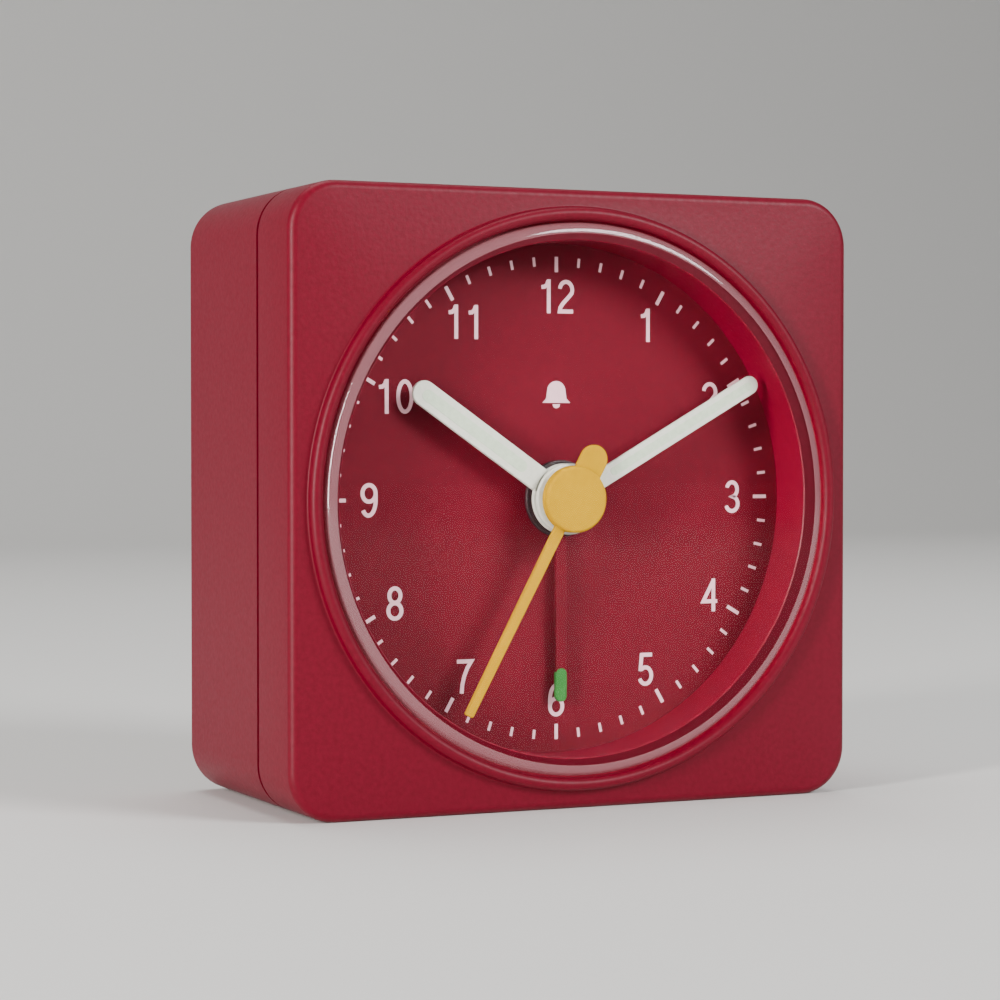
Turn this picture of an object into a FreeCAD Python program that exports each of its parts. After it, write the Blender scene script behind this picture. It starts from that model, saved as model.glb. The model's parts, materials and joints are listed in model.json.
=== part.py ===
"""Square travel alarm clock, 57 mm a side, with its quartz movement.

X is to the right of someone facing the dial, Z is up and Y runs from the dial to the back.
The origin is under the middle of the clock, on the surface that it stands on.
A "depth" is measured from the plane of the front face towards the back.
"""
import FreeCAD, Part
import math
import os
import re

import Sketcher
from FreeCAD import Placement, Rotation, Vector

# Driving dimensions in millimetres, degrees and tooth counts, by group.
SIZES = {
    # case
    "case_width": 57, "case_height": 57, "case_depth": 28, "corner_radius": 4.5, "edge_radius": 0.8,
    "wall": 1.8, "rear_wall": 2.0, "seam_depth": 8.2, "seam_gap": 0.4, "tongue_length": 1.6,
    "tongue_root": 1.2, "tongue_wall": 1.0, "fit_gap": 0.1, "press_fit": 0.02,
    # dial window, lens and ring
    "window_radius": 23.8, "sleeve_wall": 1.2, "lens_ledge": 1.6, "lens_gap": 0.2, "lens_seat": 0.2,
    "lip_wall": 1.2, "lip_stand": 1.0, "lens_edge": 0.6,
    # dial and hands
    "dial_depth": 5.4, "dial_thick": 0.5, "dial_gap": 0.4, "hand_thick": 0.4, "hub_radius": 3.3,
    "hour_hub": 2.9, "hour_length": 18.4, "hour_width": 2.35, "hour_depth": 3.4, "hour_angle": 304.4,
    "minute_gap": 1.0, "minute_width": 1.75, "minute_depth": 2.45, "minute_angle": 60.8,
    "second_gap": 1.4, "second_width": 0.95, "second_depth": 0.9, "second_angle": 208.5,
    "second_cap": 3.1, "cap_edge": 0.2, "tail_radius": 1.4, "tail_reach": 4.14, "blade_thick": 0.5,
    "alarm_length": 19.0, "alarm_width": 1.1, "alarm_shaft": 0.9, "alarm_tip": 3.2, "alarm_hub": 3.6,
    "alarm_depth": 4.3, "alarm_angle": 180,
    # movement frame
    "plate_gap": 0.1, "plate_thick": 1.0, "plate_half": 20, "plate_down": 9.1, "plate_up": 21.5,
    "plate_corner": 2, "back_plate_level": 8.4, "back_plate_up": 12.9, "pillar_x": 17.6,
    "pillar_down": 6.3, "pillar_up": 10.5, "pillar_radius": 1.6, "run_fit": 0.05,
    "clamp_radius": 0.8, "clamp_inset": 1.2, "post_x": 14, "post_radius": 1.2, "post_rise": 4,
    # wheel train, levels counted back from the front plate's front face
    "wheel_thick": 0.4, "pinion_thick": 0.6, "pivot_radius": 0.25, "arbor_radius": 0.4,
    "pipe_wall": 0.45, "alarm_level": 1.1, "hour_level": 1.8, "motion_level": 2.6,
    "centre_level": 3.4, "third_level": 4.3, "second_level": 5.2, "inter_level": 6.1,
    "train_module": 0.15, "rotor_module": 0.15, "motion_module": 0.15, "inter_clear": 0.7033,
    "alarm_clear": 0.4133, "third_teeth": 60, "third_pinion": 8, "second_teeth": 60,
    "second_pinion": 8, "centre_teeth": 64, "inter_teeth": 60, "inter_pinion": 10,
    "rotor_pinion": 12, "cannon_teeth": 12, "motion_teeth": 36, "motion_pinion": 10,
    "hour_teeth": 40, "set_teeth": 10, "alarm_teeth": 36, "alarm_set_teeth": 36,
    "third_bearing": -30, "inter_bearing": 60, "rotor_bearing": 10, "set_drop": 3.5,
    "tooth_root": 1.15, "tooth_tip": 0.8,
    # motor
    "rotor_radius": 1.7, "rotor_gap": 0.5, "rotor_thick": 0.9, "stator_thick": 0.6,
    "stator_reach": 9.5, "stator_bar": 4.6, "coil_up": 17.5, "core_width": 2.4,
    "coil_radius": 3.0, "coil_half": 6.5, "bobbin_wall": 0.5, "bobbin_flange": 3.3, "bobbin_gap": 0.2,
    # electronics
    "board_depth": 18, "board_thick": 0.8, "board_half": 20, "board_low": 2.5, "board_high": 23,
    "board_corner": 1, "chip_x": -1, "chip_up": 5, "chip_radius": 3, "chip_thick": 1,
    "chip_edge": 0.7, "crystal_x": -13, "crystal_length": 6, "crystal_radius": 1, "crystal_up": 3.5,
    "can_x": -16.5, "can_up": 8.5, "can_radius": 1.8, "can_length": 4,
    "buzzer_x": 11, "buzzer_up": 12.5, "buzzer_radius": 6.2, "buzzer_thick": 4.2, "buzzer_edge": 0.4,
    "buzzer_port": 1, "port_depth": 0.6, "sound_hole": 0.6, "sound_ring": 3.2, "contact_height": 2.6,
    "contact_margin": 0.5, "leaf_thick": 0.2, "leaf_half": 4, "leaf_root": 4, "leaf_front": 13,
    "alarm_leaf_thick": 0.15, "alarm_leaf_x": -13, "alarm_leaf_rise": 0.5, "alarm_leaf_width": 1.4,
    "alarm_leaf_gap": 0.3, "leaf_post_height": 0.95, "leaf_post_width": 1.6, "leaf_post_up": 2,
    # battery, an AA cell
    "cell_radius": 7.25, "cell_length": 49.5, "cell_edge": 0.6, "nub_radius": 2.75, "nub_length": 1.0,
    "cell_rise": 1.0, "cell_clear": 0.55, "cell_gap": 0.35, "compartment_wall": 1.0,
    "contact_thick": 0.4, "contact_half": 5, "contact_up": 6, "tail_half": 1.5, "tail_over": 2,
    "spring_wire": 0.45, "lead_radius": 0.35, "lead_gap": 0.2, "lead_up": 4,
    "door_margin": 0.8, "door_thick": 1.8, "pin_radius": 0.5, "pin_length": 0.45,
    "groove_half": 6, "groove_width": 1.6, "groove_depth": 0.8, "door_chamfer": 0.3,
    # controls
    "knob_radius": 4.2, "knob_thick": 1.3, "knob_edge": 0.25, "knob_notches": 20, "notch_radius": 0.5,
    "recess_depth": 1.4, "recess_margin": 1.5, "shaft_radius": 0.7, "bar_half": 14, "bar_front": 11.2,
    "bar_back": 19.2, "bar_corner": 1, "bar_flange": 0.8, "bar_edge": 0.3, "bar_travel": 0.8,
    "press_gap": 0.35, "flange": 1.0, "switch_x": -11, "switch_up": 15.5, "switch_travel": 3,
    "thumb_width": 4.0, "thumb_height": 3.6, "thumb_thick": 0.9, "shank_width": 2.0,
    "shank_height": 1.6,
    # screws
    "boss_radius": 2.2, "boss_inset": 5.6, "screw_radius": 0.8, "head_radius": 1.6,
    "head_thick": 0.8, "head_clear": 0.2653, "thread_depth": 5.0, "screw_end": 0.5,
    "slot_half": 1.2, "slot_width": 0.4,
    "small_screw": 0.5, "small_reach": 2.5, "small_head": 1.0, "small_head_thick": 0.6,
}

# Sizes and places that follow from others.
FOLLOWING = {
    "axis_height": "case_height / 2",
    "lens_radius": "window_radius + lens_ledge",
    "lip_inner": "lens_radius + lens_gap",
    "lip_outer": "lip_inner + lip_wall",
    "dial_radius": "window_radius + sleeve_wall",
    "minute_length": "window_radius - minute_gap",
    "second_length": "window_radius - second_gap",
    "inner_half": "case_width / 2 - wall",
    "inner_top": "case_height - wall",
    "rear_inside": "case_depth - rear_wall",
    "rear_start": "seam_depth + seam_gap",
    "screw_x": "case_width / 2 - boss_inset",
    "movement": "dial_depth + dial_thick + plate_gap",
    "back_plate": "movement + back_plate_level",
    "plate_bottom": "axis_height - plate_down",
    "plate_top": "axis_height + plate_up",
    "back_plate_top": "axis_height + back_plate_up",
    "pillar_low": "axis_height - pillar_down",
    "pillar_high": "axis_height + pillar_up",
    "set_height": "axis_height - set_drop",
    "coil_height": "axis_height + coil_up",
    "board_bottom": "axis_height + board_low",
    "board_top": "axis_height + board_high",
    "board_back": "board_depth + board_thick",
    "buzzer_height": "axis_height + buzzer_up",
    "switch_height": "axis_height + switch_up",
    "cell_depth": "case_depth - door_thick - cell_clear - cell_radius",
    "cell_height": "wall + cell_rise + cell_gap + cell_radius",
    "head_drop": "cell_height - boss_inset - head_radius",
    "box_front": "cell_depth - head_thick - sqrt((cell_radius + head_clear)^2 - head_drop^2)",
    "box_face": "box_front - compartment_wall",
    "box_low": "cell_height - cell_radius - cell_gap",
    "box_high": "cell_height + cell_radius + cell_gap",
    "box_top": "box_high + compartment_wall",
    "door_half": "inner_half - door_margin",
    "door_low": "box_low + fit_gap",
    "door_high": "box_high - fit_gap",
    "pin_depth": "case_depth - door_thick / 2",
    "pin_height": "door_low + door_thick / 2",
    "bar_low": "inner_top - run_fit - flange",
    "leaf_low": "bar_low - bar_travel - press_gap - leaf_thick",
    "switch_front": "board_back + contact_height + fit_gap",
}

document = FreeCAD.newDocument("travel_alarm_clock")
sheet = document.addObject("Spreadsheet::Sheet", "sizes")
for row, (word, value) in enumerate(SIZES.items(), start=1):
    sheet.set(f"A{row}", word)
    sheet.set(f"B{row}", str(value))
    sheet.setAlias(f"B{row}", word)
document.recompute()


def bound(text):
    """An expression in plain words, written out until each driving dimension is tied to its cell."""
    return re.sub(r"[a-z][a-z_]+", lambda word: tie(word.group(0)), str(text))


def tie(word):
    if word in FOLLOWING:
        return f"({bound(FOLLOWING[word])})"
    return f"sizes.{word}" if word in SIZES else word


def num(text):
    """The present value of an expression."""
    return float(sheet.evalExpression(bound(text)))


FRONT = "((lip_stand - case_depth) / 2)"

# How a sketch lies for each view: its plane, and whether its normal points along the growth.
VIEWS = {"front": ("XZ_Plane", False), "top": ("XY_Plane", True), "side": ("YZ_Plane", True)}
PIECES = {}

# Outer radii about the hand axis: the second arbor, then the minute, hour and alarm pipes.
PIPES = [f"(arbor_radius + {pipe} * (run_fit + pipe_wall))" for pipe in range(4)]

# Centre distances of the wheel train, and where each arbor stands.
THIRD_REACH = "(train_module * (third_teeth + second_pinion) / 2)"
CENTRE_MODULE = f"(2 * {THIRD_REACH} / (centre_teeth + third_pinion))"
CENTRE_TIP = f"({CENTRE_MODULE} * (centre_teeth / 2 + tooth_tip))"
INTER_REACH = f"({CENTRE_TIP} + pivot_radius + inter_clear)"
INTER_MODULE = f"(2 * {INTER_REACH} / (second_teeth + inter_pinion))"
ROTOR_REACH = "(rotor_module * (inter_teeth + rotor_pinion) / 2)"
MOTION_REACH = "(motion_module * (cannon_teeth + motion_teeth) / 2)"
HOUR_MODULE = f"(2 * {MOTION_REACH} / (hour_teeth + motion_pinion))"
SET_REACH = "(motion_module * (motion_teeth + set_teeth) / 2)"
ALARM_REACH = f"({CENTRE_TIP} + shaft_radius + alarm_clear)"
ALARM_MODULE = f"(2 * {ALARM_REACH} / (alarm_teeth + alarm_set_teeth))"
DROP = "(axis_height - set_height)"
TIME_SET_X = f"sqrt(({MOTION_REACH} + {SET_REACH})^2 - {DROP}^2)"
ALARM_SET_X = f"-sqrt({ALARM_REACH}^2 - {DROP}^2)"
SHARE = f"({MOTION_REACH} / ({MOTION_REACH} + {SET_REACH}))"
INTER_X = f"{INTER_REACH} * sin(inter_bearing)"
INTER_Z = f"axis_height + {INTER_REACH} * cos(inter_bearing)"
AXES = {
    "hand": ("0", "axis_height"),
    "third": (f"{THIRD_REACH} * sin(third_bearing)", f"axis_height + {THIRD_REACH} * cos(third_bearing)"),
    "inter": (INTER_X, INTER_Z),
    "rotor": (f"{INTER_X} + {ROTOR_REACH} * sin(rotor_bearing)",
              f"{INTER_Z} + {ROTOR_REACH} * cos(rotor_bearing)"),
    "motion": (f"{TIME_SET_X} * {SHARE}", f"axis_height - {DROP} * {SHARE}"),
    "time_set": (TIME_SET_X, "set_height"),
    "alarm_set": (ALARM_SET_X, "set_height"),
}


# ---------------------------------------------------------------- sketches and features
def disc(across, up, radius):
    return ("disc", across, up, radius)


def box(left, low, right, high, corner=None):
    return ("box", left, low, right, high, corner)


def limit(sketch, kind, *where):
    """A dimension of a sketch, tied to the sheet."""
    index = sketch.addConstraint(Sketcher.Constraint(kind, *where[:-1], num(where[-1])))
    sketch.setExpression(f"Constraints[{index}]", bound(where[-1]))


def draw_disc(sketch, across, up, radius):
    circle = Part.Circle(Vector(num(across), num(up), 0), Vector(0, 0, 1), num(radius))
    edge = sketch.addGeometry(circle)
    limit(sketch, "DistanceX", -1, 1, edge, 3, across)
    limit(sketch, "DistanceY", -1, 1, edge, 3, up)
    limit(sketch, "Radius", edge, radius)


def draw_box(sketch, left, low, right, high, corner):
    """A rectangle, with rounded corners where a corner radius is given."""
    x0, y0, x1, y1 = num(left), num(low), num(right), num(high)
    r = num(corner) if corner else 0
    ends = [((x0 + r, y0), (x1 - r, y0)), ((x1, y0 + r), (x1, y1 - r)),
            ((x1 - r, y1), (x0 + r, y1)), ((x0, y1 - r), (x0, y0 + r))]
    sides = [sketch.addGeometry(Part.LineSegment(Vector(*a, 0), Vector(*b, 0))) for a, b in ends]
    for side, kind in zip(sides, ("Horizontal", "Vertical", "Horizontal", "Vertical")):
        sketch.addConstraint(Sketcher.Constraint(kind, side))
    if corner:
        round_corners(sketch, sides, (x0, y0, x1, y1), r, corner)
    else:
        for side, after in zip(sides, sides[1:] + sides[:1]):
            sketch.addConstraint(Sketcher.Constraint("Coincident", side, 2, after, 1))
    limit(sketch, "DistanceY", -1, 1, sides[0], 1, low)
    limit(sketch, "DistanceX", -1, 1, sides[1], 1, right)
    limit(sketch, "DistanceY", -1, 1, sides[2], 1, high)
    limit(sketch, "DistanceX", -1, 1, sides[3], 1, left)


def round_corners(sketch, sides, extent, r, corner):
    x0, y0, x1, y1 = extent
    centres = [(x1 - r, y0 + r), (x1 - r, y1 - r), (x0 + r, y1 - r), (x0 + r, y0 + r)]
    for turn, centre in enumerate(centres):
        circle = Part.Circle(Vector(*centre, 0), Vector(0, 0, 1), r)
        start = math.radians(90 * turn - 90)
        arc = sketch.addGeometry(Part.ArcOfCircle(circle, start, start + math.pi / 2))
        sketch.addConstraint(Sketcher.Constraint("Tangent", sides[turn], 2, arc, 1))
        sketch.addConstraint(Sketcher.Constraint("Tangent", arc, 2, sides[(turn + 1) % 4], 1))
        limit(sketch, "Radius", arc, corner)


def sketch_on(body, view, offset, shapes):
    """A sketch seen from the front at a depth, from the top at a height or from the side at an X."""
    role, _ = VIEWS[view]
    plane = [item for item in body.Origin.OriginFeatures if item.Role == role][0]
    sketch = body.newObject("Sketcher::SketchObject", f"{body.Label}_outline")
    sketch.AttachmentSupport = [(plane, "")]
    sketch.MapMode = "FlatFace"
    place = f"-({FRONT} + ({offset}))" if view == "front" else offset
    sketch.setExpression("AttachmentOffset.Base.z", bound(place))
    for kind, *values in shapes:
        if view == "top":
            values[1] = f"{FRONT} + ({values[1]})"
            if kind == "box":
                values[3] = f"{FRONT} + ({values[3]})"
        if view == "side":
            values[0] = f"{FRONT} + ({values[0]})"
            if kind == "box":
                values[2] = f"{FRONT} + ({values[2]})"
        (draw_disc if kind == "disc" else draw_box)(sketch, *values)
    return sketch


def new_body(label):
    body = document.addObject("PartDesign::Body", label)
    body.Label = label
    PIECES[label] = body
    return body


def grow(body, view, offset, length, *shapes):
    """Material from the offset onwards, away from the dial, upwards or to the right."""
    sketch = sketch_on(body, view, offset, shapes)
    pad = body.newObject("PartDesign::Pad", f"{body.Label}_pad")
    pad.Profile = sketch
    pad.setExpression("Length", bound(length))
    pad.Reversed = not VIEWS[view][1]
    document.recompute()
    return pad


def cut(body, view, offset, length, *shapes):
    """A recess from the offset onwards; it has to take material away."""
    before = body.Shape.Volume
    sketch = sketch_on(body, view, offset, shapes)
    pocket = body.newObject("PartDesign::Pocket", f"{body.Label}_pocket")
    pocket.Profile = sketch
    pocket.setExpression("Length", bound(length))
    pocket.Reversed = VIEWS[view][1]
    document.recompute()
    if body.Shape.Volume >= before - 1e-6:
        raise RuntimeError(f"a recess in {body.Label} cuts nothing")
    return pocket


def around(body, feature, count):
    """Copies of a feature about the body's own front-to-back axis."""
    axis = [item for item in body.Origin.OriginFeatures if item.Role == "Y_Axis"][0]
    pattern = body.newObject("PartDesign::PolarPattern", f"{body.Label}_pattern")
    pattern.Originals = [feature]
    pattern.Axis = (axis, [""])
    pattern.Angle = 360
    pattern.setExpression("Occurrences", bound(count))
    body.Tip = pattern
    document.recompute()


def soften(body, radius, chosen, kind="PartDesign::Fillet"):
    """Round or chamfer the edges that the test picks."""
    names = [f"Edge{i}" for i, edge in enumerate(body.Shape.Edges, start=1) if chosen(edge)]
    if not names:
        raise RuntimeError(f"no edge of {body.Label} to soften")
    base = body.Tip
    feature = body.newObject(kind, f"{body.Label}_edges")
    feature.Base = (base, names)
    word = "Radius" if kind == "PartDesign::Fillet" else "Size"
    feature.setExpression(word, bound(radius))
    body.Tip = feature
    document.recompute()


def at_depth(edge, depth):
    """Whether an edge lies wholly at one depth."""
    extent = edge.BoundBox
    level = num(f"{FRONT} + ({depth})")
    return abs(extent.YMin - level) < 1e-4 and abs(extent.YMax - level) < 1e-4


def at_height(edge, height):
    extent = edge.BoundBox
    return abs(extent.ZMin - num(height)) < 1e-4 and abs(extent.ZMax - num(height)) < 1e-4


def wide(edge, radius):
    """Whether an edge is a full circle of this radius."""
    return abs(edge.BoundBox.XLength - 2 * num(radius)) < 1e-3


# ---------------------------------------------------------------- case
OUTLINE = box("-case_width / 2", "0", "case_width / 2", "case_height", "corner_radius")
SCREW_HEIGHTS = ("boss_inset", "case_height - boss_inset")


def four(low, high, radius):
    """A disc near each corner of the case."""
    return [disc(side + "screw_x", height, radius) for side in ("-", "") for height in (low, high)]


def inside(gap, low=None):
    """The inner outline of the case walls, drawn in by a gap."""
    half = f"inner_half - ({gap})"
    floor = low or f"wall + ({gap})"
    return box(f"-({half})", floor, half, f"inner_top - ({gap})", "corner_radius - wall")


def make_front_case():
    """The front shell, with the sleeve that leads down to the dial and the ring round the lens."""
    body = new_body("front_case")
    sleeve = disc("0", "axis_height", "window_radius + sleeve_wall")
    grow(body, "front", "0", "seam_depth", OUTLINE)
    soften(body, "edge_radius", lambda edge: at_depth(edge, "0"))
    cut(body, "front", "wall", "dial_depth - wall", inside("0"), sleeve)
    cut(body, "front", "dial_depth", "seam_depth - dial_depth", inside("0"))
    for height in SCREW_HEIGHTS:
        for side in ("-", ""):
            grow(body, "front", "wall", "box_face - wall",
                 disc(side + "screw_x", height, "boss_radius"))
    cut(body, "front", "thread_depth", "box_front - thread_depth", *four(*SCREW_HEIGHTS, "screw_radius"))
    grow(body, "front", "-lip_stand", "lip_stand + lens_seat",
         disc("0", "axis_height", "lip_outer"), disc("0", "axis_height", "lip_inner"))
    cut(body, "front", "0", "lens_seat", disc("0", "axis_height", "lip_inner"))
    cut(body, "front", "0", "dial_depth", disc("0", "axis_height", "window_radius"))
    soften(body, "lip_wall / 2 - fit_gap", lambda edge: at_depth(edge, "-lip_stand"))


def make_rear_case():
    """The rear shell: battery compartment, knob recess, screw tubes and the openings in its walls."""
    body = new_body("rear_case")
    grow(body, "front", "rear_start", "case_depth - rear_start", OUTLINE)
    soften(body, "edge_radius", lambda edge: at_depth(edge, "case_depth"))
    cut(body, "front", "rear_start", "rear_inside - rear_start",
        inside("0", "box_top"))
    cut(body, "front", "box_front", "rear_inside - box_front",
        box("-inner_half", "box_top", "inner_half", "box_top + corner_radius"))
    cut(body, "front", "rear_start", "box_face - rear_start", inside("0"))
    grow(body, "front", "rear_start", "tongue_root", inside("0"), inside("fit_gap + tongue_wall"))
    grow(body, "front", "rear_start - tongue_length", "tongue_length",
         inside("fit_gap"), inside("fit_gap + tongue_wall"))
    cut(body, "front", "box_front", "rear_inside - box_front",
        box("-inner_half", "box_low", "inner_half", "box_high"))
    cut(body, "front", "rear_inside", "rear_wall",
        box("-door_half - fit_gap", "box_low", "door_half + fit_gap", "box_high"))
    for side in ("-", ""):
        grow(body, "front", "box_face", "rear_inside - box_front + compartment_wall",
             disc(side + "screw_x", SCREW_HEIGHTS[1], "boss_radius"))
    cut(body, "front", "box_face", "compartment_wall",
        *four(*SCREW_HEIGHTS, "screw_radius + fit_gap"))
    cut(body, "front", "box_front", "case_depth - box_front",
        *[disc(side + "screw_x", SCREW_HEIGHTS[1], "head_radius + fit_gap") for side in ("-", "")])
    cut_controls(body)


def cut_controls(body):
    """Openings of the rear shell for the knobs, the sound, the switch, the bar and the contacts."""
    half = "(knob_radius + recess_margin)"
    cut(body, "front", "case_depth - recess_depth", "recess_depth",
        box(f"{ALARM_SET_X} - {half}", f"set_height - {half}", f"{TIME_SET_X} + {half}",
            f"set_height + {half}", f"{half} - fit_gap"))
    cut(body, "front", "rear_inside", "rear_wall",
        *[disc(x, "set_height", "shaft_radius + fit_gap") for x in (ALARM_SET_X, TIME_SET_X)])
    turns = [k * math.pi / 3 for k in range(6)]
    ring = [(f"buzzer_x + sound_ring * {math.cos(turn):.4f}",
             f"buzzer_height + sound_ring * {math.sin(turn):.4f}") for turn in turns]
    cut(body, "front", "rear_inside", "rear_wall",
        *[disc(x, z, "sound_hole") for x, z in ring + [("buzzer_x", "buzzer_height")]])
    cut(body, "front", "case_depth - thumb_thick - fit_gap", "thumb_thick + fit_gap",
        switch_box("thumb_width", "thumb_height", "fit_gap"))
    cut(body, "front", "rear_inside", "rear_wall", switch_box("shank_width", "shank_height", "fit_gap"))
    cut(body, "top", "inner_top", "wall", bar_box("fit_gap"))
    near, far = "cell_depth - tail_half - fit_gap", "cell_depth + tail_half + fit_gap"
    tail = box("-inner_half", near, "-inner_half + 2 * contact_thick", far)
    twin = box("inner_half - 2 * contact_thick", near, "inner_half", far)
    cut(body, "top", "box_high", "compartment_wall", tail, twin)
    cut(body, "side", "-door_half - pin_length - fit_gap", "2 * (door_half + pin_length + fit_gap)",
        disc("pin_depth", "pin_height", "pin_radius + run_fit"))


def switch_box(width, height, gap):
    """The path of the alarm switch, whose travel is to the right."""
    return box(f"switch_x - {width} / 2 - {gap}", f"switch_height - {height} / 2 - {gap}",
               f"switch_x + {width} / 2 + switch_travel + {gap}", f"switch_height + {height} / 2 + {gap}")


def bar_box(gap):
    return box(f"-bar_half - {gap}", f"bar_front - {gap}", f"bar_half + {gap}", f"bar_back + {gap}",
               f"bar_corner + {gap}")


def make_lens():
    """The clear crystal: a disc with a rounded rim, seated behind the ring."""
    body = new_body("lens")
    grow(body, "front", "-lip_stand", "lip_stand + lens_seat", disc("0", "axis_height", "lens_radius"))
    soften(body, "lens_edge", lambda edge: at_depth(edge, "-lip_stand"))


def make_battery_door():
    """A flush cover on two pins along its rounded lower edge, with a thumb groove at the top."""
    body = new_body("battery_door")
    grow(body, "front", "case_depth - door_thick", "door_thick",
         box("-door_half", "door_low", "door_half", "door_high"))
    soften(body, "door_thick / 2 - press_fit",
           lambda edge: at_height(edge, "door_low") and edge.BoundBox.XLength > num("door_half"))
    cut(body, "front", "case_depth - groove_depth", "groove_depth",
        box("-groove_half", "door_high - 2 * groove_width", "groove_half", "door_high - groove_width",
            "groove_width / 2 - fit_gap"))
    soften(body, "door_chamfer", lambda edge: at_height(edge, "door_high") and
           at_depth(edge, "case_depth - door_thick"), "PartDesign::Chamfer")
    grow(body, "side", "-door_half - pin_length", "2 * (door_half + pin_length)",
         disc("pin_depth", "pin_height", "pin_radius"))


def make_case_screws():
    """Four screws, from the rear shell into the bosses of the front shell."""
    body = new_body("case_screws")
    body.AllowCompound = True
    grow(body, "front", "thread_depth + screw_end", "box_front - thread_depth - screw_end",
         *four(*SCREW_HEIGHTS, "screw_radius - press_fit"))
    grow(body, "front", "box_front", "head_thick", *four(*SCREW_HEIGHTS, "head_radius"))
    slots = [box(f"{side}screw_x - slot_half", f"{height} - slot_width / 2",
                 f"{side}screw_x + slot_half", f"{height} + slot_width / 2")
             for side in ("-", "") for height in SCREW_HEIGHTS]
    cut(body, "front", "box_front + head_thick / 2", "head_thick / 2", *slots)


# ---------------------------------------------------------------- dial and hands
def make_dial():
    body = new_body("dial")
    grow(body, "front", "dial_depth", "dial_thick", disc("0", "axis_height", "dial_radius"),
         disc("0", "axis_height", f"{PIPES[3]} + dial_gap"))


def on_axis(body, angle):
    """Set a hand that was drawn pointing up at its place on the hand axis."""
    body.setExpression("Placement.Base.z", bound("axis_height"))
    body.Placement.Rotation = Rotation(Vector(0, 1, 0), num(angle))
    body.setExpression("Placement.Rotation.Angle", bound(angle))


def make_hand(label, depth, length, width, bore, hub, angle):
    """A flat hand with a round end, on a round hub that fits its pipe."""
    body = new_body(label)
    grow(body, "front", depth, "hand_thick",
         box(f"-{width} / 2", "-hub_radius / 2", f"{width} / 2", length, f"{width} / 2 - press_fit"))
    grow(body, "front", depth, "hand_thick", disc("0", "0", hub))
    cut(body, "front", depth, "hand_thick", disc("0", "0", bore))
    on_axis(body, angle)


def make_second_hand():
    """The second hand: a blade and a round tail under a round cap."""
    body = new_body("second_hand")
    grow(body, "front", "second_depth", "2 * blade_thick", disc("0", "0", "second_cap"))
    under = "second_depth + blade_thick"
    grow(body, "front", under, "blade_thick",
         box("-second_width / 2", "0", "second_width / 2", "second_length", "second_width / 4"))
    grow(body, "front", under, "blade_thick",
         box("-tail_radius", "-tail_reach - tail_radius", "tail_radius", "0", "tail_radius - press_fit"))
    cut(body, "front", under, "blade_thick", disc("0", "0", "arbor_radius"))
    soften(body, "cap_edge", lambda edge: at_depth(edge, "second_depth"))
    on_axis(body, "second_angle")


def make_alarm_hand():
    """The alarm hand, whose tip is wider than its shaft."""
    make_hand("alarm_hand", "alarm_depth", "alarm_length - alarm_tip / 2", "alarm_shaft", PIPES[3],
              "alarm_hub", "alarm_angle")
    grow(PIECES["alarm_hand"], "front", "alarm_depth", "hand_thick",
         box("-alarm_width / 2", "alarm_length - alarm_tip", "alarm_width / 2", "alarm_length",
             "alarm_width / 2 - press_fit"))


# ---------------------------------------------------------------- wheel train
def level(name, extra=0):
    """The depth of a wheel's front face, as a number."""
    return num(f"movement + {name}") + extra


def bearing(start, end):
    """The direction from one arbor to another, clockwise from upright."""
    (x0, z0), (x1, z1) = ([num(word) for word in AXES[name]] for name in (start, end))
    return math.degrees(math.atan2(x1 - x0, z1 - z0))


def meshed(phase, teeth, start, other_teeth, end):
    """The turn that puts the other wheel's gap where this wheel's tooth is."""
    line = bearing(start, end)
    tooth = ((line - phase) * num(teeth) / 360) % 1
    gap = (0.5 - tooth) % 1
    return line + 180 - gap * 360 / num(other_teeth)


def prism(outline, depth, thick):
    """A flat solid at a depth, from its outline about the arbor."""
    front = num(FRONT) + depth
    points = [Vector(x, front, z) for x, z in outline]
    return Part.Face(Part.makePolygon(points + points[:1])).extrude(Vector(0, thick, 0))


def toothed(depth, thick, module, teeth, phase):
    """A ring of straight-sided teeth, a little thinner than their gaps so that they run freely."""
    count = round(num(teeth))
    step = 360 / count
    root = num(module) * (count / 2 - num("tooth_root"))
    tip = num(module) * (count / 2 + num("tooth_tip"))
    corners = ((root, -0.3), (tip, -0.1), (tip, 0.1), (root, 0.3))  # shares of the tooth pitch
    outline = []
    for tooth in range(count):
        for radius, share in corners:
            turn = math.radians(phase + (tooth + share) * step)
            outline.append((radius * math.sin(turn), radius * math.cos(turn)))
    return prism(outline, depth, thick)


def rod(depth, end, radius):
    start = Vector(0, num(FRONT) + depth, 0)
    return Part.makeCylinder(num(radius), end - depth, start, Vector(0, 1, 0))


def wheel_piece(label, axis, solids, bore=None):
    """Wheels, pinions and arbor as one turned piece, with a bore right through where there is one."""
    shape = solids[0].fuse(solids[1:])
    if bore:
        shape = shape.cut(rod(-num("lip_stand"), num("case_depth"), bore))
    feature = document.addObject("Part::Feature", label)
    feature.Shape = shape.removeSplitter()
    x, z = AXES[axis]
    feature.setExpression("Placement.Base.x", bound(x))
    feature.setExpression("Placement.Base.z", bound(z))
    PIECES[label] = feature


def wheel(name, module, teeth, phase):
    return toothed(level(name), num("wheel_thick"), module, teeth, phase)


def pinion(name, module, teeth, phase):
    """A pinion is wider than the wheel that it meets, by the same amount on each side."""
    spare = (num("pinion_thick") - num("wheel_thick")) / 2
    return toothed(level(name, -spare), num("pinion_thick"), module, teeth, phase)


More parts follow.
